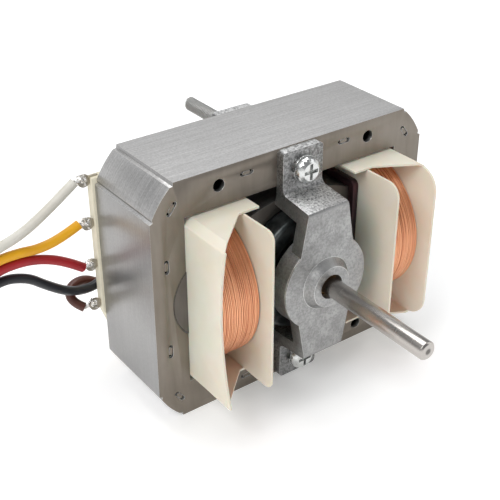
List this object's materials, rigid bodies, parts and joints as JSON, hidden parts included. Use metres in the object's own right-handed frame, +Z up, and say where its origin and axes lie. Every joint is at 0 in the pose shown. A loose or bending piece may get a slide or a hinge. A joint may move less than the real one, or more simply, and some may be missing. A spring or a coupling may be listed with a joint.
{
  "type": "range hood fan motor",
  "caption": "Open-frame shaded-pole motor with a laminated yoke, two copper coils on plastic bobbins, a die-cast bearing bracket on each face, a plain output shaft and wire leads.",
  "frame": {"origin": "centre of the four fixing holes, on the front face of the lamination stack, which is also on the shaft's axis", "axes": "+X to the right along the long side of the stack seen from the output shaft, +Y to the rear, +Z up; the output shaft points along -Y"},
  "size_m": [0.1876, 0.1549, 0.0874],
  "materials": {
    "lamination_steel": "satin",
    "copper_bar": "satin",
    "bobbin_plastic": "satin",
    "winding_wire": "satin",
    "cast_aluminium": "satin",
    "sintered_bronze": "matte",
    "zinc_plated_steel": "polished",
    "felt": "matte",
    "board_plastic": "satin",
    "tinned_metal": "satin",
    "white_insulation": "satin",
    "yellow_insulation": "satin",
    "red_insulation": "satin",
    "black_insulation": "satin",
    "brown_insulation": "satin",
    "connector_plastic": "satin",
    "ground_steel": "polished",
    "washer_plastic": "satin"
  },
  "bodies": {
    "stator": {"yoke_stack": "lamination_steel", "pole_core": "lamination_steel", "right_shading_ring": "copper_bar", "left_shading_ring": "copper_bar", "left_bobbin": "bobbin_plastic", "right_bobbin": "bobbin_plastic", "left_coil": "winding_wire", "right_coil": "winding_wire", "front_bracket": "cast_aluminium", "rear_bracket": "cast_aluminium", "front_bearing": "sintered_bronze", "front_bearing_retainer": "zinc_plated_steel", "front_oil_felt": "felt", "rear_bearing": "sintered_bronze", "rear_bearing_retainer": "zinc_plated_steel", "rear_oil_felt": "felt", "upper_through_bolt": "zinc_plated_steel", "lower_through_bolt": "zinc_plated_steel", "spring_washers": "zinc_plated_steel", "rear_nuts": "zinc_plated_steel", "terminal_board": "board_plastic", "terminals": "tinned_metal", "soldered_ends": "tinned_metal", "white_lead": "white_insulation", "yellow_lead": "yellow_insulation", "red_lead": "red_insulation", "black_lead": "black_insulation", "brown_lead": "brown_insulation", "lead_connector": "connector_plastic"},
    "rotor": {"shaft": "ground_steel", "rotor_core": "lamination_steel", "rotor_cage": "cast_aluminium", "front_shaft_spacer": "ground_steel", "rear_shaft_spacer": "ground_steel", "front_thrust_washer": "washer_plastic", "rear_thrust_washer": "washer_plastic"}
  },
  "joints": [
    {"name": "rotor_spin", "type": "hinge", "parent": "stator", "child": "rotor", "pos_m": [0, 0, 0], "axis": [0, -1, 0], "continuous": true}
  ]
}
